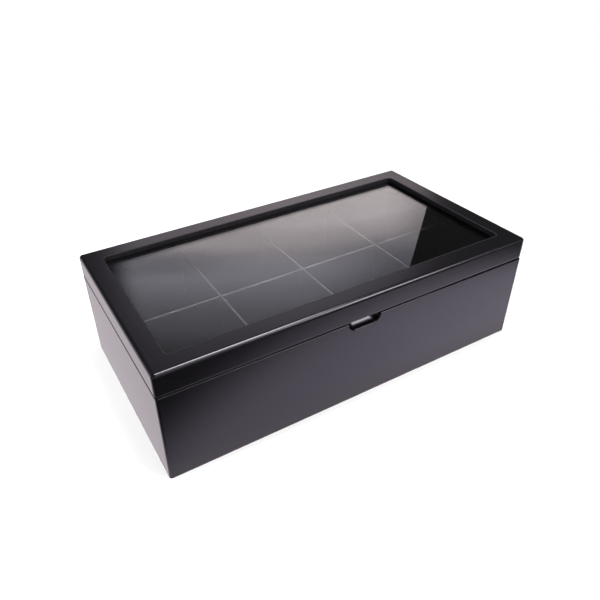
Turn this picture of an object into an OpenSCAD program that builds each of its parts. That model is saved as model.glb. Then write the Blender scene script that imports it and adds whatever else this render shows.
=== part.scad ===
// A box with eight compartments for tea bags, under a hinged lid with a glass window.
// X runs along the width, the front faces -Y, and the underside rests at Z = 0.

/* [Case] */
// Outer width of the case, left to right
case_w = 340; // [300:1:400]
// Outer depth of the case, front to back
case_d = 180; // [160:1:220]
// Height of the case up to its rim
case_h = 79.5; // [60:0.5:110]
// Thickness of the four case walls
wall_t = 12; // [11:0.5:14]
// Radius of the upright outer edges of the case
case_corner_r = 2; // [1.25:0.25:3]
// Radius of the outer edge of the rim at the back, where the open lid turns over it
rim_r = 1; // [0.5:0.25:1]
// Radius of the outer edge of the rim at the front and the sides
rim_ease_r = 0.5; // [0.4:0.1:1]

/* [Bottom panel] */
// Thickness of the bottom panel
panel_t = 5; // [3:0.5:8]
// Width of the rebate in the walls that the panel sits in
rebate_w = 6; // [4:0.5:8]
// Gap round the edge of the panel
panel_gap = 0.1; // [0.05:0.05:0.4]

/* [Dividers] */
// Thickness of the dividers
divider_t = 3; // [2:0.5:5]
// How far the tops of the dividers lie below the rim
divider_drop = 4; // [2:0.5:12]
// Depth of the grooves in the walls that hold the dividers
dado_depth = 2; // [1:0.5:4]
// Gap on each side of a divider in a groove or slot
slide_gap = 0.15; // [0.05:0.05:0.3]
// Radius of the eased top edges of the dividers
divider_edge_r = 0.6; // [0.2:0.1:0.9]

/* [Finger scoop] */
// Radius of the scoop that is cut into the front of the rim
scoop_r = 7; // [5:0.5:9]
// Length of the straight middle of the scoop
scoop_run = 16.5; // [8:0.5:40]
// Radius of the eased edge of the scoop
scoop_edge_r = 0.6; // [0.3:0.1:1]

/* [Lid] */
// Height of the lid
lid_h = 20; // [18:0.5:30]
// Gap between the rim and the closed lid
seam_gap = 0.5; // [0.3:0.1:0.8]
// Radius of the top and upright outer edges of the lid
lid_edge_r = 3; // [1.5:0.25:4]
// Radius of the lower outer edge of the lid
lid_low_r = 2; // [2:0.25:3]
// How far the lip reaches over the glass
lip_w = 4.5; // [3:0.5:8]
// Thickness of the lip, which is how deep the glass lies below the top
lip_t = 4.5; // [3:0.5:6]
// Radius of the corners of the window
window_r = 3; // [2:0.5:12]
// Radius of the eased edge round the window
lip_edge_r = 0.5; // [0.3:0.1:1.5]

/* [Glass] */
// Thickness of the glass pane
glass_t = 3; // [2:0.5:4]
// Gap round the edge of the glass
glass_gap = 0.5; // [0.2:0.1:1]
// Width of the beads that hold the glass up against the lip
bead_w = 4.5; // [3:0.5:6]
// Height of the beads
bead_h = 6; // [4:0.5:8]
// Radius of the lower inner edge of the beads
bead_r = 2; // [1:0.5:2.5]

/* [Seam pads] */
// Radius of the two pads that the front of the lid closes on
pad_r = 3; // [2:0.5:3.5]

/* [Hinges] */
// Distance from the end of the case to the middle of a hinge
hinge_inset = 60; // [40:1:90]
// Length of a hinge
hinge_l = 30; // [24:1:40]
// Reach of a leaf, measured inwards from the pin
leaf_reach = 8.5; // [8:0.25:9.5]
// Thickness of a leaf
leaf_t = 1; // [0.8:0.1:1.2]
// Radius of the knuckles
knuckle_r = 2; // [1.9:0.1:2.2]
// Gap between neighbouring knuckles
knuckle_gap = 0.2; // [0.1:0.05:0.4]
// Radius of the pin
pin_r = 1; // [0.8:0.05:1.1]
// Running gap between the pin and its bore
pin_gap = 0.05; // [0.02:0.01:0.08]
// Radius of the heads on the ends of the pin
pin_head_r = 1.6; // [1.3:0.1:1.8]
// Thickness of the heads on the ends of the pin
pin_head_t = 0.6; // [0.4:0.1:1]
// Gap in the wood round the knuckles
pocket_gap = 0.4; // [0.3:0.1:0.6]
// Gap in the wood round the edge of a leaf
leaf_gap = 0.1; // [0.05:0.05:0.3]

/* [Hinge screws] */
// Distance between the two screws of a leaf
screw_pitch = 18; // [14:0.5:20]
// Radius of a screw's shank
screw_r = 1.1; // [0.8:0.1:1.2]
// Radius of a screw's countersunk head
screw_head_r = 2; // [1.6:0.1:2.1]
// Length of a screw
screw_l = 8; // [6:0.5:10]
// Width of the slot in a screw's head
slot_w = 0.5; // [0.3:0.1:0.6]
// Depth of the slot in a screw's head
slot_depth = 0.4; // [0.2:0.1:0.6]

/* [Hidden] */
$fn = 96;

// How far a cutting shape runs past the surface that it cuts
over = 1;
columns = 4;

inner_w = case_w - 2 * wall_t;
inner_d = case_d - 2 * wall_t;
cell_w = (inner_w - (columns - 1) * divider_t) / columns;
divider_pitch = cell_w + divider_t;
divider_top = case_h - divider_drop;
divider_mid = (panel_t + divider_top) / 2;
slot_t = divider_t + 2 * slide_gap;

lid_z = case_h + seam_gap;
lip_z = lid_z + lid_h - lip_t;
glass_z = lip_z - glass_t;
bead_z = glass_z - bead_h;
window_w = inner_w - 2 * lip_w;
window_d = inner_d - 2 * lip_w;
lip_reach = wall_t + lip_w + window_r;

// The pin lies in the seam, under the line where the rounding of the rim begins, so that the
// rounded edges of rim and lid meet behind it and stop the open lid just past upright
pin_y = case_d / 2 - rim_r;
pin_z = case_h + seam_gap / 2;
hinge_x = case_w / 2 - hinge_inset;
bore_r = pin_r + pin_gap;
leaf_y = pin_y - leaf_reach;
// A leaf's plate ends inside the wall of its knuckle, half way between pin and outside
plate_end = pin_y - (pin_r + knuckle_r) / 2;
screw_y = (leaf_y + pin_y - knuckle_r) / 2;
middle_knuckle = [[-hinge_l / 6 + knuckle_gap / 2, hinge_l / 6 - knuckle_gap / 2]];
outer_knuckles = [
    [-hinge_l / 2, -hinge_l / 6 - knuckle_gap / 2],
    [hinge_l / 6 + knuckle_gap / 2, hinge_l / 2]
];

BLACK = "#1d1b1f";
DIVIDER = "#2b2a2d";
STEEL = "#b9bbbe";

// What is cut from a square corner at the origin to round it, where the material lies to the
// right of the corner and below it
module corner_waste(r) {
    difference() {
        translate([-over, -r]) square([r + over, r + over]);
        translate([r, -r]) circle(r);
    }
}

// A section drawn in X and Y, run along X: its X becomes Y, and its Y becomes Z
module run_along_x(length) {
    translate([-length / 2, 0, 0]) rotate([90, 0, 90]) linear_extrude(length) children();
}

// A cylinder that lies along X from x1 to x2
module rod(r, x1, x2) {
    translate([x1, 0, 0]) rotate([0, 90, 0]) cylinder(r = r, h = x2 - x1);
}

// One of four members that meet in mitred, rounded corners. Its section is drawn from the outer
// face inwards, and its outer face lies at Y = 0
module mitred_member(length, breadth, height, corner_r) {
    mitre = breadth + over;
    intersection() {
        translate([0, 0, -over]) linear_extrude(height + 2 * over) polygon([
            [-length / 2 - over, -over], [length / 2 + over, -over],
            [length / 2 - mitre, mitre], [mitre - length / 2, mitre]
        ]);
        union() {
            run_along_x(length - 2 * corner_r) children();
            for (side = [-1, 1])
                translate([side * (length / 2 - corner_r), corner_r, 0])
                    rotate([0, 0, side > 0 ? -90 : 180]) rotate_extrude(angle = 90)
                        intersection() {
                            translate([corner_r, 0]) mirror([1, 0]) children();
                            square([corner_r, height]);
                        }
        }
    }
}

module front_place() { translate([0, -case_d / 2, 0]) children(); }
module back_place() { rotate([0, 0, 180]) translate([0, -case_d / 2, 0]) children(); }
module left_place() { rotate([0, 0, -90]) translate([0, -case_w / 2, 0]) children(); }
module right_place() { rotate([0, 0, 90]) translate([0, -case_w / 2, 0]) children(); }

// The case walls

module wall_section(edge_r) {
    difference() {
        square([wall_t, case_h]);
        translate([0, case_h]) corner_waste(edge_r);
        translate([wall_t - rebate_w, -over]) square([rebate_w + over, panel_t + over]);
    }
}

module plain_wall(length, edge_r) {
    mitred_member(length, wall_t, case_h, case_corner_r) wall_section(edge_r);
}

// Grooves for the ends of dividers, at the given places along a wall
module dadoes(places) {
    for (x = places)
        translate([x - slot_t / 2, wall_t - dado_depth, panel_t])
            cube([slot_t, dado_depth + over, case_h - panel_t + over]);
}

// A cove along the rim with round ends, as a ball-nosed cutter leaves it, and its eased edge
module finger_scoop() {
    translate([0, 0, case_h]) {
        rod(scoop_r, -scoop_run / 2, scoop_run / 2);
        for (side = [-1, 1]) translate([side * scoop_run / 2, 0, 0]) {
            sphere(r = scoop_r);
            rotate([-90, side > 0 ? 0 : 90, 0]) rotate_extrude(angle = 90)
                translate([scoop_r, 0]) mirror([0, 1]) corner_waste(scoop_edge_r);
        }
        translate([0, 0, -scoop_r]) run_along_x(scoop_run) corner_waste(scoop_edge_r);
    }
}

module front_wall() {
    color(BLACK) front_place() difference() {
        plain_wall(case_w, rim_ease_r);
        dadoes([-divider_pitch, 0, divider_pitch]);
        finger_scoop();
    }
}

module back_wall() {
    color(BLACK) difference() {
        back_place() difference() {
            plain_wall(case_w, rim_r);
            dadoes([-divider_pitch, 0, divider_pitch]);
        }
        both_hinges() {
            barrel_pocket();
            leaf_pocket(case_h - leaf_t);
            case_screw_places() screw_body();
        }
    }
}

module left_wall() {
    color(BLACK) left_place() difference() {
        plain_wall(case_d, rim_ease_r);
        dadoes([0]);
    }
}

module right_wall() {
    color(BLACK) right_place() difference() {
        plain_wall(case_d, rim_ease_r);
        dadoes([0]);
    }
}

module bottom_panel() {
    panel_w = inner_w + 2 * (rebate_w - panel_gap);
    panel_d = inner_d + 2 * (rebate_w - panel_gap);
    color(BLACK) translate([-panel_w / 2, -panel_d / 2, 0]) cube([panel_w, panel_d, panel_t]);
}

// The dividers, which cross in half laps: the long one is slotted from above, and the cross ones
// from below

module divider_board(length) {
    height = divider_top - panel_t;
    translate([0, 0, panel_t]) run_along_x(length) difference() {
        translate([-divider_t / 2, 0]) square([divider_t, height]);
        for (side = [0, 1]) mirror([side, 0])
            translate([-divider_t / 2, height]) corner_waste(divider_edge_r);
    }
}

module long_divider() {
    color(DIVIDER) difference() {
        divider_board(inner_w + 2 * (dado_depth - slide_gap));
        for (x = [-divider_pitch, 0, divider_pitch])
            translate([x - slot_t / 2, -divider_t / 2 - over, divider_mid])
                cube([slot_t, divider_t + 2 * over, divider_top - divider_mid + over]);
    }
}

module cross_divider(x) {
    color(DIVIDER) translate([x, 0, 0]) difference() {
        rotate([0, 0, 90]) divider_board(inner_d + 2 * (dado_depth - slide_gap));
        translate([-divider_t / 2 - over, -slot_t / 2, panel_t - over])
            cube([divider_t + 2 * over, slot_t, divider_mid - panel_t + over]);
    }
}

// The lid

module rail_section() {
    difference() {
        union() {
            square([wall_t, lid_h]);
            translate([0, lid_h - lip_t]) square([lip_reach, lip_t]);
        }
        translate([0, lid_h]) corner_waste(lid_edge_r);
        mirror([0, 1]) corner_waste(lid_low_r);
    }
}

// The window's opening with its round corners and the eased edge on top
module window_opening() {
    straight_w = window_w - 2 * window_r;
    straight_d = window_d - 2 * window_r;
    depth = lip_t + 2 * over;
    translate([0, 0, lip_z - over]) {
        translate([-straight_w / 2, -window_d / 2, 0]) cube([straight_w, window_d, depth]);
        translate([-window_w / 2, -straight_d / 2, 0]) cube([window_w, straight_d, depth]);
        for (x = [-1, 1], y = [-1, 1])
            translate([x * straight_w / 2, y * straight_d / 2, 0]) cylinder(r = window_r, h = depth);
    }
    translate([0, 0, lip_z + lip_t]) {
        for (side = [0, 1]) rotate([0, 0, 180 * side]) {
            translate([0, window_d / 2, 0]) run_along_x(straight_w) corner_waste(lip_edge_r);
            rotate([0, 0, 90]) translate([0, window_w / 2, 0])
                run_along_x(straight_d) corner_waste(lip_edge_r);
            translate([straight_w / 2, straight_d / 2, 0]) window_corner_edge();
            translate([-straight_w / 2, straight_d / 2, 0]) rotate([0, 0, 90]) window_corner_edge();
        }
    }
}

module window_corner_edge() {
    rotate_extrude(angle = 90) translate([window_r, 0]) corner_waste(lip_edge_r);
}

module lid_rail(length) {
    translate([0, 0, lid_z]) mitred_member(length, lip_reach, lid_h, lid_edge_r) rail_section();
}

module lid_front_rail() {
    color(BLACK) difference() {
        front_place() lid_rail(case_w);
        window_opening();
    }
}

module lid_back_rail() {
    color(BLACK) difference() {
        back_place() lid_rail(case_w);
        window_opening();
        both_hinges() {
            barrel_pocket();
            leaf_pocket(lid_z - over);
            lid_screw_places() screw_body();
        }
    }
}

module lid_left_rail() {
    color(BLACK) difference() {
        left_place() lid_rail(case_d);
        window_opening();
    }
}

module lid_right_rail() {
    color(BLACK) difference() {
        right_place() lid_rail(case_d);
        window_opening();
    }
}

module glass_pane() {
    pane_w = inner_w - 2 * glass_gap;
    pane_d = inner_d - 2 * glass_gap;
    color("lightblue", 0.35) translate([-pane_w / 2, -pane_d / 2, glass_z])
        cube([pane_w, pane_d, glass_t]);
}

// A bead drawn from the rail inwards, with its lower inner edge rounded
module bead_section() {
    difference() {
        square([bead_w, bead_h]);
        translate([bead_w, 0]) rotate(180) corner_waste(bead_r);
    }
}

module long_bead() {
    color(BLACK) translate([0, -inner_d / 2, bead_z]) run_along_x(inner_w) bead_section();
}

module short_bead() {
    color(BLACK) rotate([0, 0, -90]) translate([0, -inner_w / 2, bead_z])
        run_along_x(inner_d - 2 * bead_w) bead_section();
}

module seam_pads() {
    color("#101012") for (side = [-1, 1])
        translate([side * (case_w - wall_t) / 2, (wall_t - case_d) / 2, case_h])
            cylinder(r = pad_r, h = seam_gap);
}

// The hinges. Everything is placed on the pin's line, for a hinge in the middle of the case

module both_hinges() {
    for (side = [-1, 1]) translate([side * hinge_x, 0, 0]) children();
}

module barrel_pocket() {
    half = hinge_l / 2 + pin_head_t + pocket_gap;
    translate([0, pin_y, pin_z]) rod(knuckle_r + pocket_gap, -half, half);
}

module leaf_pocket(z) {
    translate([-hinge_l / 2 - leaf_gap, leaf_y - leaf_gap, z])
        cube([hinge_l + 2 * leaf_gap, leaf_reach + leaf_gap, leaf_t + over]);
}

// A leaf whose plate lies at height z: its own knuckles, with room for those of its mate
module hinge_leaf(z, own, mate) {
    color(STEEL) difference() {
        union() {
            difference() {
                translate([-hinge_l / 2, leaf_y, z]) cube([hinge_l, plate_end - leaf_y, leaf_t]);
                for (k = mate) translate([0, pin_y, pin_z])
                    rod(knuckle_r + knuckle_gap, k[0] - knuckle_gap, k[1] + knuckle_gap);
            }
            for (k = own) translate([0, pin_y, pin_z]) rod(knuckle_r, k[0], k[1]);
        }
        translate([0, pin_y, pin_z]) rod(bore_r, -hinge_l / 2 - over, hinge_l / 2 + over);
        children();
    }
}

module case_leaf() {
    hinge_leaf(case_h - leaf_t, outer_knuckles, middle_knuckle)
        case_screw_places() screw_body();
}

module lid_leaf() {
    hinge_leaf(lid_z, middle_knuckle, outer_knuckles) lid_screw_places() screw_body();
}

module hinge_pin() {
    half = hinge_l / 2;
    color(STEEL) translate([0, pin_y, pin_z]) {
        rod(pin_r, -half, half);
        rod(pin_head_r, -half - pin_head_t, -half);
        rod(pin_head_r, half, half + pin_head_t);
    }
}

module case_screw_places() {
    for (side = [-1, 1]) translate([side * screw_pitch / 2, screw_y, case_h]) children();
}

module lid_screw_places() {
    for (side = [-1, 1]) translate([side * screw_pitch / 2, screw_y, lid_z])
        rotate([180, 0, 0]) children();
}

// A countersunk screw that points down, with the top of its head at the origin
module screw_body() {
    translate([0, 0, -leaf_t]) cylinder(r1 = screw_r, r2 = screw_head_r, h = leaf_t);
    translate([0, 0, -screw_l]) cylinder(r = screw_r, h = screw_l - leaf_t);
}

module screw() {
    color(STEEL) difference() {
        screw_body();
        translate([-screw_head_r - over, -slot_w / 2, -slot_depth])
            cube([2 * (screw_head_r + over), slot_w, slot_depth + over]);
    }
}

front_wall();
back_wall();
left_wall();
right_wall();
bottom_panel();
long_divider();
cross_divider(-divider_pitch);  // cross_divider_left
cross_divider(0);  // cross_divider_middle
cross_divider(divider_pitch);  // cross_divider_right
lid_front_rail();
lid_back_rail();
lid_left_rail();
lid_right_rail();
glass_pane();
long_bead();  // bead_front
rotate([0, 0, 180]) long_bead();  // bead_back
short_bead();  // bead_left
rotate([0, 0, 180]) short_bead();  // bead_right
seam_pads();
translate([-hinge_x, 0, 0]) case_leaf();  // case_leaf_left
translate([hinge_x, 0, 0]) case_leaf();  // case_leaf_right
translate([-hinge_x, 0, 0]) lid_leaf();  // lid_leaf_left
translate([hinge_x, 0, 0]) lid_leaf();  // lid_leaf_right
translate([-hinge_x, 0, 0]) hinge_pin();  // hinge_pin_left
translate([hinge_x, 0, 0]) hinge_pin();  // hinge_pin_right
both_hinges() case_screw_places() screw();  // case_screws
both_hinges() lid_screw_places() screw();  // lid_screws
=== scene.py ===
# %% [markdown]
# # A tea bag organizer box in black lacquer
# The object is a low wooden box with eight compartments and a hinged lid with a glass window.
# Its solids come ready from the CAD model, at their real size and in their real places. What is
# left for Blender is how it looks: the lacquer, the glass, the metal of the hinges and the light
# that makes a black box readable. A black glossy box has hardly any colour of its own, so almost
# everything we see on it is a reflection. That is why the light gets as much care here as the
# materials do.

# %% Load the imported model
import math

import bmesh
import bpy
import numpy as np
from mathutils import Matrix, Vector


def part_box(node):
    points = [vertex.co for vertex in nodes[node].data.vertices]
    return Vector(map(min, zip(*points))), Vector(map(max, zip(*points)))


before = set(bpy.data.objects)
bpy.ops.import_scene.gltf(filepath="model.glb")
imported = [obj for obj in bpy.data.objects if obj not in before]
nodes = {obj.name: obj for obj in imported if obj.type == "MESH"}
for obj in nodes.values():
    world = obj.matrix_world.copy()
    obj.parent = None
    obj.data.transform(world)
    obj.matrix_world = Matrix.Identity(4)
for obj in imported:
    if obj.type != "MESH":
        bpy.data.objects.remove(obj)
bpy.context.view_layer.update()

# %% [markdown]
# ## Camera
# The camera comes first, because every reflection depends on where we look from. It stands to the
# left of the box and above it, 53 cm from its middle. A camera at a known place, with its turn
# written as three angles, is easier to check than one that tracks a target. The small shift takes
# the place of a picture that was cut slightly off its middle.

# %% Place the camera
camera_data = bpy.data.cameras.new("photo_camera")
camera_data.sensor_width = 36.0
camera_data.lens = 35.33
camera_data.shift_x = 0.045
camera_data.shift_y = -0.0056
camera = bpy.data.objects.new("photo_camera", camera_data)
camera.location = (-0.2349, -0.3724, 0.3523)
camera.rotation_euler = [math.radians(angle) for angle in (55.315, 1.42, -29.715)]
bpy.context.scene.collection.objects.link(camera)
bpy.context.scene.camera = camera
bpy.context.scene.view_settings.view_transform = "Standard"
middle_of_box = (0.0, 0.0, 0.05)
print("camera", round(math.dist(camera.location, middle_of_box), 3), "m from the box's middle")

# %% [markdown]
# ## Helpers
# Colours are written as the hex codes that a paint chart or a picture program would give. Blender
# calculates with linear light, so one function turns a hex code into linear numbers. A second one
# adds a shader node with its settings and links in one line, which keeps the materials readable.

# %% Colour and node helpers
def linear(code):
    """Linear RGBA of an sRGB hex code: each channel over 255, undone by the sRGB curve."""
    srgb = np.array([int(code[i:i + 2], 16) for i in (1, 3, 5)]) / 255
    rgb = np.where(srgb <= 0.04045, srgb / 12.92, ((srgb + 0.055) / 1.055) ** 2.4)
    return (*rgb.tolist(), 1.0)


def add(tree, kind, inputs=None, links=None, **settings):
    """A new shader node of this kind, with its settings, input values and incoming links."""
    node = tree.nodes.new("ShaderNode" + kind)
    for name, value in settings.items():
        setattr(node, name, value)
    for socket, value in (inputs or {}).items():
        node.inputs[socket].default_value = value
    for socket, source in (links or {}).items():
        tree.links.new(source, node.inputs[socket])
    return node


def new_material(name):
    """A material with an empty node tree, the tree, its output node and Object coordinates."""
    material = bpy.data.materials.new(name)
    material.use_nodes = True
    tree = material.node_tree
    tree.nodes.clear()
    output = add(tree, "OutputMaterial")
    place = add(tree, "TexCoord").outputs["Object"]
    return material, tree, output, place


def finish_with(material, *names):
    """Puts one material on these nodes of the model, in place of the plain one they came with."""
    for name in names:
        for slot in nodes[name].material_slots:
            slot.material = material
    print(material.name, "on", ", ".join(names))


black_paint = linear("#0e0d10")
print("black of the paint, linear:", [round(value, 4) for value in black_paint[:3]])

# %% [markdown]
# ## Black lacquer
# The wood is sprayed with black paint and a clear satin lacquer over it. The paint gives a very
# dark colour, the lacquer an even sheen: it mirrors its surroundings, but a little blurred. A
# sprayed film is never quite flat. It has a faint orange peel, waves 2 to 3 mm long and a few
# thousandths of a millimetre high, and a grain of fine dots from the matting agent. The matting
# grain is too fine to show, so here it is drawn at 0.3 mm, and it only moves the roughness a
# little. Each of these traits gets a function of its own, and one more puts them together.

# %% Orange peel and satin sheen
peel_length, peel_height, matting_grain = 0.0025, 0.0000025, 0.0003


def orange_peel(tree, place):
    """The normal of a film whose height is a soft noise, as long and high as the waves."""
    waves = add(tree, "TexNoise", {"Scale": 1 / peel_length, "Detail": 1.5, "Roughness": 0.4},
                {"Vector": place})
    bump = add(tree, "Bump", {"Strength": 1.0, "Distance": peel_height},
               {"Height": waves.outputs["Fac"]})
    return bump.outputs["Normal"]


def satin_sheen(tree, place, roughness):
    """This roughness, moved up and down by 0.02 with the grain of the matting agent."""
    grain = add(tree, "TexNoise", {"Scale": 1 / matting_grain, "Detail": 2.0}, {"Vector": place})
    return add(tree, "MapRange", {"From Min": 0.3, "From Max": 0.7,
                                  "To Min": roughness - 0.02, "To Max": roughness + 0.02},
               {"Value": grain.outputs["Fac"]}).outputs["Result"]


print("orange peel:", peel_length * 1000, "mm long,", peel_height * 1000, "mm high")

# %% [markdown]
# ## Paint without lacquer
# The inside of the case and the cut edge of the window are only painted, and so they are matt. No
# mesh has to be cut for that. Both lie within a millimetre of a rounded rectangle round the
# middle, so their distance from that rectangle tells them from the lacquered outside.

# %% Matt opening
matt_roughness, matt_reach, matt_blend = 0.6, 0.0010, 0.0002


def matt_opening(tree, place, opening):
    """The roughness of bare paint up to 1 mm from the opening, and 0 further out. The opening is
    half the width, half the depth and the corner radius r of a rounded rectangle. Outside it the
    length of max(|p| - (half size - r), 0) is more than r."""
    half_width, half_depth, r = opening
    one_corner = add(tree, "VectorMath", links={0: place}, operation="ABSOLUTE")
    past = add(tree, "VectorMath", {1: (half_width - r, half_depth - r, 1.0)},
               {0: one_corner.outputs["Vector"]}, operation="SUBTRACT")
    outside = add(tree, "VectorMath", {1: (0.0, 0.0, 0.0)}, {0: past.outputs["Vector"]},
                  operation="MAXIMUM")
    far = add(tree, "VectorMath", links={0: outside.outputs["Vector"]}, operation="LENGTH")
    return add(tree, "MapRange", {"From Min": r + matt_reach,
                                  "From Max": r + matt_reach + matt_blend,
                                  "To Min": matt_roughness, "To Max": 0.0},
               {"Value": far.outputs["Value"]}).outputs["Result"]


inside = (-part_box("left_wall")[1].x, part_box("back_wall")[0].y, 0.001)
window = (-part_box("bead_left")[1].x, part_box("bead_left")[1].y, 0.003)
for title, opening in (("inside", inside), ("window", window)):
    print(title, "half width, half depth and corner in mm:", [round(1000 * v, 2) for v in opening])

# %% [markdown]
# ## Dust
# A box in use is never without a few specks of dust, and on black they show. A Voronoi texture
# divides space into cells about 12 mm wide, each with a point and a random colour. Three cells in
# a hundred hold a speck round their point, half a millimetre wide. It shows where the surface
# passes through it, and that leaves a few specks on the whole box.

# %% Dust specks
dust_cell, dust_limit = 0.012, 0.97


def dust(tree, place, seed):
    """1 on a speck and 0 elsewhere. The seed shifts the cells, so each part has its own specks."""
    shifted = add(tree, "Mapping", {"Location": (seed, 0.37 * seed, 0.0)}, {"Vector": place})
    cells = add(tree, "TexVoronoi", {"Scale": 1 / dust_cell, "Randomness": 1.0},
                {"Vector": shifted.outputs["Vector"]})
    number = add(tree, "SeparateColor", links={"Color": cells.outputs["Color"]})
    chosen = add(tree, "Math", {1: dust_limit}, {0: number.outputs["Red"]},
                 operation="GREATER_THAN")
    near = add(tree, "MapRange", {"From Min": 0.018, "From Max": 0.028,
                                  "To Min": 1.0, "To Max": 0.0},
               {"Value": cells.outputs["Distance"]})
    return add(tree, "Math", {}, {0: chosen.outputs[0], 1: near.outputs["Result"]},
               operation="MULTIPLY").outputs[0]


print("a speck is about", round(1000 * 2 * 0.023 * dust_cell, 2), "mm wide")

# %% [markdown]
# ## The finished lacquer
# Lacquer is a resin, so its IOR is a little over 1.5, and the black pigment near its surface tints
# the sheen faintly violet. Case and lid get the same lacquer, each with its own opening.

# %% Lacquer material
def satin_lacquer(name, roughness, opening, dust_seed):
    material, tree, output, place = new_material(name)
    rough = add(tree, "Math", {}, {0: satin_sheen(tree, place, roughness),
                                   1: matt_opening(tree, place, opening)}, operation="MAXIMUM")
    paint = add(tree, "Mix", {"A": black_paint, "B": linear("#8d8a88")},
                {"Factor": dust(tree, place, dust_seed)}, data_type="RGBA")
    surface = add(tree, "BsdfPrincipled", {"IOR": 1.55, "Specular Tint": linear("#faf3ff")},
                  {"Base Color": paint.outputs["Result"], "Roughness": rough.outputs[0],
                   "Normal": orange_peel(tree, place)})
    tree.links.new(surface.outputs["BSDF"], output.inputs["Surface"])
    return material


case_lacquer = satin_lacquer("black_satin_lacquer_case", 0.2, inside, dust_seed=0.2)
lid_lacquer = satin_lacquer("black_satin_lacquer_lid", 0.2, window, dust_seed=0.7)
finish_with(case_lacquer, "front_wall", "back_wall", "left_wall", "right_wall", "bottom_panel")
finish_with(lid_lacquer, "lid_front_rail", "lid_back_rail", "lid_left_rail", "lid_right_rail",
            "bead_front", "bead_back", "bead_left", "bead_right")

# %% [markdown]
# ## Dividers
# The dividers are thin hardboard, dyed black and lacquered matt. Through the glass their top edges
# show as a grid of pale lines, and these are a painted highlight: a narrow grey line along the
# middle of each top edge, broken up a little by noise, in place of the light the edges catch. It
# is strongest at the front and on the left. It fades out towards the back and the right end, as
# painted shade where the rails keep the light off. The place of the painted highlight is worked
# out first.

# %% Painted highlight on the top edges
divider_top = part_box("long_divider")[1].z
divider_pitch = (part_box("cross_divider_right")[0].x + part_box("cross_divider_right")[1].x) / 2
highlight_depth, highlight_half_width, highlight_patch = 0.00009, 0.0009, 0.009


def painted_edge_highlight(tree, place):
    """1 where the top edge gets the grey of the painted highlight, 0 where it stays black. The
    distance from the middle line of the nearest divider is |y| across the long one, and across the
    short ones the distance of x from the nearest multiple of their pitch."""
    at = add(tree, "SeparateXYZ", links={"Vector": place}).outputs
    on_top = add(tree, "MapRange", {"From Min": divider_top - highlight_depth,
                                    "From Max": divider_top - highlight_depth / 3}, {"Value": at["Z"]})
    along_y = add(tree, "Math", {1: divider_pitch / 2}, {0: at["X"]}, operation="PINGPONG")
    along_x = add(tree, "Math", {}, {0: at["Y"]}, operation="ABSOLUTE")
    across = add(tree, "Math", {}, {0: along_x.outputs[0], 1: along_y.outputs[0]},
                 operation="MINIMUM")
    in_middle = add(tree, "MapRange", {"From Min": 0.0004, "From Max": highlight_half_width,
                                       "To Min": 1.0, "To Max": 0.0}, {"Value": across.outputs[0]})
    # Painted shade: the highlight fades out towards the back and the right end, where the rails
    # shade the edges
    near_front = add(tree, "MapRange", {"From Min": 0.07, "From Max": 0.02}, {"Value": at["Y"]},
                     interpolation_type="SMOOTHSTEP")
    near_left = add(tree, "MapRange", {"From Min": 0.14, "From Max": 0.095}, {"Value": at["X"]},
                    interpolation_type="SMOOTHSTEP")
    highlight_noise = add(tree, "TexNoise", {"Scale": 1 / highlight_patch, "Detail": 3.0}, {"Vector": place})
    patchy = add(tree, "MapRange", {"From Min": 0.3, "From Max": 0.6, "To Min": 0.75,
                                    "To Max": 1.0}, {"Value": highlight_noise.outputs["Fac"]})
    highlit = on_top.outputs["Result"]
    for limit in (in_middle, near_front, near_left, patchy):
        highlit = add(tree, "Math", {}, {0: highlit, 1: limit.outputs["Result"]},
                     operation="MULTIPLY").outputs[0]
    return highlit


print("dividers", round(1000 * divider_pitch, 2), "mm apart, top at", round(divider_top, 4), "m")

# %% [markdown]
# ## The finished hardboard
# Hardboard is pressed wood fibre. Dye and matt lacquer lie thin on it, so its fibres, a little
# under a millimetre long, still show as a fine unevenness of the surface. Along the painted
# highlight the colour goes from the dyed black to a pale grey.

# %% Divider material
fibre_length, fibre_height = 0.0008, 0.00002


def hardboard_with_painted_highlight(name):
    material, tree, output, place = new_material(name)
    fibre = add(tree, "TexNoise", {"Scale": 1 / fibre_length, "Detail": 3.0}, {"Vector": place})
    # The grey B is the colour of the painted highlight on the top edges
    colour = add(tree, "Mix", {"A": linear("#110f12"), "B": linear("#7d7a7f")},
                 {"Factor": painted_edge_highlight(tree, place)}, data_type="RGBA")
    bump = add(tree, "Bump", {"Strength": 1.0, "Distance": fibre_height},
               {"Height": fibre.outputs["Fac"]})
    surface = add(tree, "BsdfPrincipled", {"IOR": 1.5, "Roughness": 0.42},
                  {"Base Color": colour.outputs["Result"], "Normal": bump.outputs["Normal"]})
    tree.links.new(surface.outputs["BSDF"], output.inputs["Surface"])
    return material


finish_with(hardboard_with_painted_highlight("matt_black_hardboard"), "long_divider", "cross_divider_left",
            "cross_divider_middle", "cross_divider_right")

# %% [markdown]
# ## Glass
# The window is 3 mm float glass: IOR 1.52, perfectly smooth, and with the faint green that iron
# gives it, which shows only at its cut edge.

# %% Glass material
def float_glass(name):
    material, tree, output, place = new_material(name)
    surface = add(tree, "BsdfPrincipled",
                  {"Base Color": linear("#fbfdfc"), "Roughness": 0.0, "IOR": 1.52,
                   "Transmission Weight": 1.0})
    tree.links.new(surface.outputs["BSDF"], output.inputs["Surface"])
    return material


finish_with(float_glass("clear_float_glass"), "glass_pane")

# %% [markdown]
# ## Metal and rubber
# The hinges are steel plated with nickel, a slightly warm white metal. They were brushed along
# their length before plating, so fine scratches run along X: the noise is stretched 20 times that
# way. Pins and screws are plain zinc plated steel, cooler and duller. The two pads under the lid
# are black rubber, matt all over with a fine skin.

# %% Hardware materials
scratch_width, scratch_depth = 0.0002, 0.000004
skin_grain, skin_height = 0.0004, 0.00001


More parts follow.
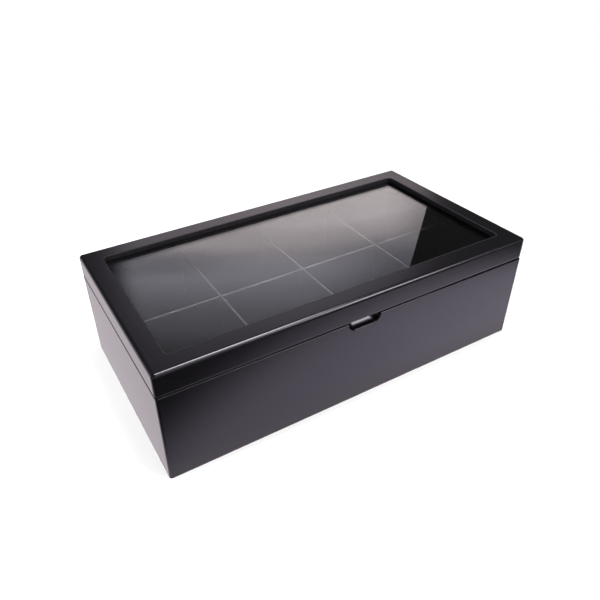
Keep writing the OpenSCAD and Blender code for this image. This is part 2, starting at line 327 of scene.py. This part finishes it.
def brushed_metal(name, colour, roughness, stretch):
    material, tree, output, place = new_material(name)
    along = add(tree, "Mapping", {"Scale": stretch}, {"Vector": place})
    lines = add(tree, "TexNoise", {"Scale": 1 / scratch_width, "Detail": 3.0},
                {"Vector": along.outputs["Vector"]})
    bump = add(tree, "Bump", {"Strength": 1.0, "Distance": scratch_depth},
               {"Height": lines.outputs["Fac"]})
    rough = add(tree, "MapRange", {"To Min": roughness - 0.05, "To Max": roughness + 0.05},
                {"Value": lines.outputs["Fac"]})
    surface = add(tree, "BsdfPrincipled", {"Base Color": linear(colour), "Metallic": 1.0},
                  {"Roughness": rough.outputs["Result"], "Normal": bump.outputs["Normal"]})
    tree.links.new(surface.outputs["BSDF"], output.inputs["Surface"])
    return material


def pad_rubber(name):
    material, tree, output, place = new_material(name)
    skin = add(tree, "TexNoise", {"Scale": 1 / skin_grain, "Detail": 2.0}, {"Vector": place})
    bump = add(tree, "Bump", {"Strength": 1.0, "Distance": skin_height},
               {"Height": skin.outputs["Fac"]})
    surface = add(tree, "BsdfPrincipled",
                  {"Base Color": linear("#0f0f10"), "Roughness": 0.75, "IOR": 1.52},
                  {"Normal": bump.outputs["Normal"]})
    tree.links.new(surface.outputs["BSDF"], output.inputs["Surface"])
    return material


finish_with(brushed_metal("brushed_nickel_plate", "#c9c4ba", 0.28, (0.05, 1.0, 1.0)),
            "case_leaf_left", "case_leaf_right", "lid_leaf_left", "lid_leaf_right")
finish_with(brushed_metal("zinc_plated_steel", "#b4b6ba", 0.34, (1.0, 1.0, 1.0)),
            "hinge_pin_left", "hinge_pin_right", "case_screws", "lid_screws")
finish_with(pad_rubber("black_rubber"), "seam_pads")

# %% [markdown]
# ## Sheets of the studio
# The table, the ceiling, a black card and a glowing panel are all plain sheets: a grid of points
# that one formula gives for the whole array at once. One function makes the mesh from any such
# grid. It welds points that coincide, and that closes the seam of a full turn and the pole in the
# middle of a disc or the top of a dome. A second function tells the shaders of these sheets
# whether we look at them or see them mirrored.

# %% Sheet from a grid of points
weld_distance = 0.00005


def studio_sheet(name, x, y, z):
    """A sheet through a grid of points (x, y, z). Each cell between four neighbours is a face."""
    x, y, z = np.broadcast_arrays(x, y, z)
    rows, columns = x.shape
    points = np.stack([x, y, z], axis=-1).reshape(-1, 3)
    corner = (np.arange(rows - 1)[:, None] * columns + np.arange(columns - 1)).ravel()
    faces = np.stack([corner, corner + columns, corner + columns + 1, corner + 1], axis=-1)
    mesh = bpy.data.meshes.new(name)
    mesh.from_pydata(points.tolist(), [], faces.tolist())
    shape = bmesh.new()
    shape.from_mesh(mesh)
    bmesh.ops.remove_doubles(shape, verts=shape.verts, dist=weld_distance)
    shape.to_mesh(mesh)
    shape.free()
    piece = bpy.data.objects.new(name, mesh)
    bpy.context.scene.collection.objects.link(piece)
    print(name, len(mesh.polygons), "faces")
    return piece


def seen_directly(tree):
    """1 for a ray that comes from the camera, directly or straight through glass. 0 for a ray
    that was reflected on its way, also inside the glass."""
    path = add(tree, "LightPath").outputs
    bounces = add(tree, "Math", {}, {0: path["Diffuse Depth"], 1: path["Glossy Depth"]})
    straight = add(tree, "Math", {1: 0.5}, {0: bounces.outputs[0]}, operation="LESS_THAN")
    glass = add(tree, "Math", {}, {0: path["Is Transmission Ray"], 1: straight.outputs[0]},
                operation="MULTIPLY")
    return add(tree, "Math", {}, {0: path["Is Camera Ray"], 1: glass.outputs[0]},
               operation="MAXIMUM").outputs[0]


turn = np.linspace(0.0, 2 * math.pi, 97)
print("a full turn has", len(turn) - 1, "steps")

# %% [markdown]
# ## Table
# The box stands on a plain table of matt white paper. Near the box it is a real surface that takes
# the shadow. Further out it dissolves into the white studio, which is what a paper roll behind a
# product does. The table is a disc: a point is r times (cos t, sin t) for radius r and angle t.

# %% Table
radius = np.linspace(0.0, 0.8, 24)[:, None]
table = studio_sheet("pale_table", radius * np.cos(turn), radius * np.sin(turn), 0.0)
material, tree, output, place = new_material("matt_white_paper")
paper = add(tree, "BsdfPrincipled", {"Base Color": linear("#f2f2f2"), "Roughness": 0.9,
                                     "Specular IOR Level": 0.2})

# %% [markdown]
# ## What the lacquer mirrors of the table
# The lacquer mirrors the table, and there the lamps would draw every unevenness of their light. So
# reflections see an even glow in place of the lit paper: slightly blue and rising to the right in
# front of the box, slightly pink beside it, as in a room with a window.

# %% Mirrored glow of the table
glow_left, glow_right, glow_beside = 0.963, 1.344, 1.05
at = add(tree, "SeparateXYZ", links={"Vector": place}).outputs
front = add(tree, "MapRange", {"From Min": -0.16, "From Max": 0.1, "To Min": glow_left,
                               "To Max": glow_right}, {"Value": at["X"]})
beside = add(tree, "MapRange", {"From Min": -0.11, "From Max": -0.085}, {"Value": at["Y"]},
             interpolation_type="SMOOTHSTEP").outputs["Result"]
level = add(tree, "Mix", {"B": glow_beside}, {"Factor": beside, "A": front.outputs["Result"]})
tint = add(tree, "Mix", {"A": linear("#f4edff"), "B": linear("#fff5fc")},
           {"Factor": beside}, data_type="RGBA")
mirrored = add(tree, "Emission", {}, {"Color": tint.outputs["Result"],
                                      "Strength": level.outputs["Result"]})
in_mirror = add(tree, "Math", {}, {0: add(tree, "LightPath").outputs["Is Glossy Ray"],
                                   1: seen_directly(tree)}, operation="SUBTRACT", use_clamp=True)
lit = add(tree, "MixShader", links={0: in_mirror.outputs[0], 1: paper.outputs[0],
                                    2: mirrored.outputs[0]})

# %% [markdown]
# ## Edge of the paper
# The paper has no edge that could be seen. It grows more and more transparent with the distance
# from the middle, until only the white studio is left, which shows the same white.

# %% Fading edge of the table
paper_near, paper_far = 0.28, 0.62
reach = add(tree, "VectorMath", links={0: place}, operation="LENGTH").outputs["Value"]
away = add(tree, "MapRange", {"From Min": paper_near, "From Max": paper_far}, {"Value": reach},
           interpolation_type="SMOOTHSTEP")
surface = add(tree, "MixShader", links={0: away.outputs["Result"], 1: lit.outputs[0],
                                        2: add(tree, "BsdfTransparent").outputs[0]})
tree.links.new(surface.outputs["Shader"], output.inputs["Surface"])
table.data.materials.append(material)
print("the paper fades out between", paper_near, "and", paper_far, "m from the middle")

# %% [markdown]
# ## World and ceiling
# The world is plain white at a strength of 1, which is the white background of a product picture.
# A black box under a white sky would look grey all over, so the studio gets a dark ceiling: a dome
# over the set. It starts at the horizon and is fully dark 8 degrees above it. What we see
# directly, or straight through the glass, stays white: for such rays the dome is transparent. So
# it only shows in reflections and keeps the sky's light off the box. A point of the dome is 4.5 m
# from the middle, at angle t round it and e up.

# %% White world and dark ceiling
world = bpy.data.worlds.new("studio")
world.use_nodes = True
bpy.context.scene.world = world
sky = world.node_tree
sky.nodes.clear()
white = add(sky, "Background", {"Color": linear("#ffffff"), "Strength": 1.0})
add(sky, "OutputWorld", links={"Surface": white.outputs["Background"]})

dome_radius, dark_from_height = 4.5, 0.63
rise = np.linspace(0.0, math.pi / 2, 25)[:, None]
ceiling = studio_sheet("dark_ceiling", dome_radius * np.cos(rise) * np.cos(turn),
                       dome_radius * np.cos(rise) * np.sin(turn), dome_radius * np.sin(rise))
material, tree, output, place = new_material("dark_ceiling_cloth")
height = add(tree, "SeparateXYZ", links={"Vector": place}).outputs["Z"]
risen = add(tree, "MapRange", {"From Min": 0.0, "From Max": dark_from_height}, {"Value": height},
            interpolation_type="SMOOTHSTEP")
dark = add(tree, "Math", {}, {0: risen.outputs["Result"], 1: seen_directly(tree)},
           operation="SUBTRACT", use_clamp=True)
cloth = add(tree, "Emission", {"Color": linear("#ffffff"), "Strength": 0.04})
surface = add(tree, "MixShader", links={0: dark.outputs[0],
                                        1: add(tree, "BsdfTransparent").outputs[0],
                                        2: cloth.outputs[0]})
tree.links.new(surface.outputs["Shader"], output.inputs["Surface"])
ceiling.data.materials.append(material)

# %% [markdown]
# ## Soft boxes
# Five soft boxes do the lighting. A small strong one overhead lights the top and the inside, and
# draws the line along the rounded front edge of the lid. A tall weak one in front to the right,
# with a small bright core, widens that line towards the right, and a weak one beside it lets it
# fade to the left. One close to the left wall only lights the table there, because the box would
# throw its shadow on it: it stays out of all reflections.

# %% Place the soft boxes
def soft_box(name, azimuth, elevation, distance, size, radiance, target=(0.0, 0.0, 0.08)):
    """An area lamp that faces the box. Azimuth 0 is in front of the box, and 90 to its right. A
    lamp of this area gives the wanted radiance at a power of 4 times radiance times area."""
    lamp = bpy.data.lights.new(name, "AREA")
    lamp.shape = "RECTANGLE"
    lamp.size, lamp.size_y = size
    lamp.energy = 4 * radiance * size[0] * size[1]
    piece = bpy.data.objects.new(name, lamp)
    a, e = math.radians(azimuth), math.radians(elevation)
    away = np.array([math.sin(a) * math.cos(e), -math.cos(a) * math.cos(e), math.sin(e)])
    piece.location = np.array(target) + distance * away
    piece.rotation_euler = (math.pi / 2 - e, 0.0, a)
    piece.visible_camera = False
    bpy.context.scene.collection.objects.link(piece)
    print(name, "at", [round(v, 2) for v in piece.location], round(lamp.energy, 1), "W")
    return piece


soft_box("overhead_soft_box", 70, 76, 1.5, (0.65, 0.6), 13.0)
low_boxes = [soft_box("front_right_soft_box", 38, 45, 1.6, (0.5, 0.75), 3.4),
             soft_box("front_right_core", 37, 28, 1.59, (0.4, 0.4), 10.0),
             soft_box("front_soft_box", 15, 42, 1.6, (0.6, 0.7), 1.5)]
left_box = soft_box("left_soft_box", -100, 45, 0.9, (0.7, 0.7), 7.5, target=(-0.2, 0.0, 0.0))
left_box.visible_glossy = False
# These would show as bright rectangles in the glass, from the side or with the lid open
for box in (*low_boxes, left_box):
    box.visible_transmission = False

# %% [markdown]
# ## Graded panel
# Behind the box stands a large panel that glows brightest near its lower edge and fades upwards.
# Only its reflection is seen, in the glass and on the rails. Its fading gives the window the soft
# change from pale grey at the back to dark grey in front, and its leaning right end leaves the
# last corner of the window dark. A graded panel like this is how glossy black things are usually
# shown.

# %% Graded panel
def upright_panel(name, azimuth, distance, low, high, left, right_low, right_high):
    """A flat upright sheet that faces the middle. A point is distance along the facing direction,
    s to its right and z up, for s on the straight left edge and on the leaning right one."""
    s = np.array([[left, left], [right_low, right_high]])
    return studio_sheet(name, distance * math.sin(azimuth) + s * math.cos(azimuth),
                        distance * math.cos(azimuth) - s * math.sin(azimuth),
                        np.array([low, high]))


panel_azimuth, panel_low, panel_high = math.radians(28.5), 1.08, 2.7
panel = upright_panel("graded_panel", panel_azimuth, 2.5, panel_low, panel_high,
                      left=-1.0, right_low=0.878, right_high=0.657)

# %% [markdown]
# ## Glow by height
# The light of the panel is warm at the bottom and cool at the top, as beside a window with the sky
# above a wall. The glow is strongest near the middle. Towards the sides its lines of equal
# brightness bend down, by 0.14 times the square of the distance from the brightest line.

# %% Glow by height
bend, brightest_line = 0.14, -0.1
material, tree, output, place = new_material("graded_glow")
side = add(tree, "VectorMath", {1: (math.cos(panel_azimuth), -math.sin(panel_azimuth), 0.0)},
           {0: place}, operation="DOT_PRODUCT").outputs["Value"]
off_line = add(tree, "Math", {1: -brightest_line}, {0: side}, operation="ADD").outputs[0]
square = add(tree, "Math", {}, {0: off_line, 1: off_line}, operation="MULTIPLY").outputs[0]
height = add(tree, "SeparateXYZ", links={"Vector": place}).outputs["Z"]
bent = add(tree, "Math", {1: bend}, {0: square, 2: height}, operation="MULTIPLY_ADD").outputs[0]
share = add(tree, "MapRange", {"From Min": panel_low, "From Max": panel_high}, {"Value": bent})
ramp = add(tree, "ValToRGB", links={"Fac": share.outputs["Result"]})
# Height in metres, radiance, and how far the colour has gone from warm (0) to cool (1)
stops = [(1.08, 1.75, 0.0), (1.28, 1.88, 0.0), (1.40, 2.02, 0.1), (1.46, 1.72, 0.15),
         (1.52, 1.58, 0.2), (1.57, 1.34, 0.4), (1.62, 1.26, 0.7), (1.68, 1.27, 0.9),
         (1.74, 1.17, 1.0), (1.80, 1.01, 1.0), (1.86, 0.89, 1.0), (1.92, 0.78, 1.0),
         (1.98, 0.66, 1.0), (2.04, 0.59, 1.0), (2.16, 0.47, 1.0), (2.22, 0.37, 1.0),
         (2.40, 0.20, 1.0)]
# The colours of a ramp end at 1, so all are divided by this radiance here and multiplied later
top_radiance = 2.2
warm, cool = np.array(linear("#fff3f5")[:3]), 1.04 * np.array(linear("#f3f0ff")[:3])
for z, radiance, coolness in stops[1:-1]:
    ramp.color_ramp.elements.new((z - panel_low) / (panel_high - panel_low))
ramp.color_ramp.elements[-1].position = (stops[-1][0] - panel_low) / (panel_high - panel_low)
for element, (z, radiance, coolness) in zip(ramp.color_ramp.elements, stops):
    tinted = warm + coolness * (cool - warm)
    element.color = (*(radiance / top_radiance * tinted).tolist(), 1.0)
print("brightest and darkest stop:", max(stop[1] for stop in stops), stops[-1][1])

# %% [markdown]
# ## Dimmed places
# The glow is dimmed at four places: down its right side, along its right edge at the bottom, in a
# band on the left where warm turns to cool, and in the lower left corner, which would shine on the
# back rail. Each place is a product of smooth steps, and its left edge fades out in the same way.

# %% Dimmed places
# How much is lost at most, then what each smooth step depends on, where it starts and ends
dimmed = [(0.6, (side, 0.1, 0.9), (height, 1.38, 1.62)),
          (0.45, (side, 0.6, 0.9), (height, 1.53, 1.42)),
          (0.5, (side, 0.15, -0.6), (height, 1.5, 1.38)),
          (0.35, (side, 0.0, -0.7), (height, 1.5, 1.6), (height, 1.74, 1.64))]
level = add(tree, "MapRange", {"From Min": -1.0, "From Max": -0.8}, {"Value": side},
            interpolation_type="SMOOTHSTEP").outputs["Result"]
for most, *fades in dimmed:
    steps = [add(tree, "MapRange", {"From Min": start, "From Max": end}, {"Value": value},
                 interpolation_type="SMOOTHSTEP").outputs["Result"] for value, start, end in fades]
    reached = steps[0]
    for step in steps[1:]:
        reached = add(tree, "Math", {}, {0: reached, 1: step}, operation="MULTIPLY").outputs[0]
    left_over = add(tree, "Math", {1: -most, 2: 1.0}, {0: reached}, operation="MULTIPLY_ADD")
    level = add(tree, "Math", {}, {0: level, 1: left_over.outputs[0]},
                operation="MULTIPLY").outputs[0]
strength = add(tree, "Math", {1: top_radiance}, {0: level}, operation="MULTIPLY").outputs[0]
glow = add(tree, "Emission", {}, {"Color": ramp.outputs["Color"], "Strength": strength})
surface = add(tree, "MixShader", links={0: seen_directly(tree), 1: glow.outputs[0],
                                        2: add(tree, "BsdfTransparent").outputs[0]})
tree.links.new(surface.outputs["Shader"], output.inputs["Surface"])
panel.data.materials.append(material)
print(len(stops), "stops and", len(dimmed), "dimmed places")

# %% [markdown]
# ## Black card
# A front face that mirrors an endless white table looks flat. Photographers lay a black card in
# front of the object, just where its face looks down: the face then runs from dark at the top to
# light at the bottom. The card's edge is a large arc. It only shows in reflections here. The card
# is half a ring: a point is the arc's middle plus r times (cos t, sin t), for half a turn.

# %% Black card in front
arc_x, arc_y, card_inner, card_outer = 0.12, 0.39, 0.52, 1.3
card_height = 0.0006
radius = np.linspace(card_inner, card_outer, 30)[:, None]
half_turn = np.linspace(-math.pi, 0.0, 97)
card = studio_sheet("black_card", arc_x + radius * np.cos(half_turn),
                    arc_y + radius * np.sin(half_turn), card_height)
card.visible_camera = False
card.visible_diffuse = False
card.visible_shadow = False
card.visible_transmission = False
material, tree, output, place = new_material("black_velvet")
reach = add(tree, "VectorMath", {1: (arc_x, arc_y, 0.0)}, {0: place},
            operation="DISTANCE").outputs["Value"]
past_edge = add(tree, "MapRange", {"From Min": card_inner + 0.03, "From Max": card_inner + 0.1},
                {"Value": reach}, interpolation_type="SMOOTHSTEP")
velvet = add(tree, "BsdfDiffuse", {"Color": linear("#080808")})
surface = add(tree, "MixShader", links={0: past_edge.outputs["Result"],
                                        1: add(tree, "BsdfTransparent").outputs[0],
                                        2: velvet.outputs[0]})
tree.links.new(surface.outputs["Shader"], output.inputs["Surface"])
card.data.materials.append(material)
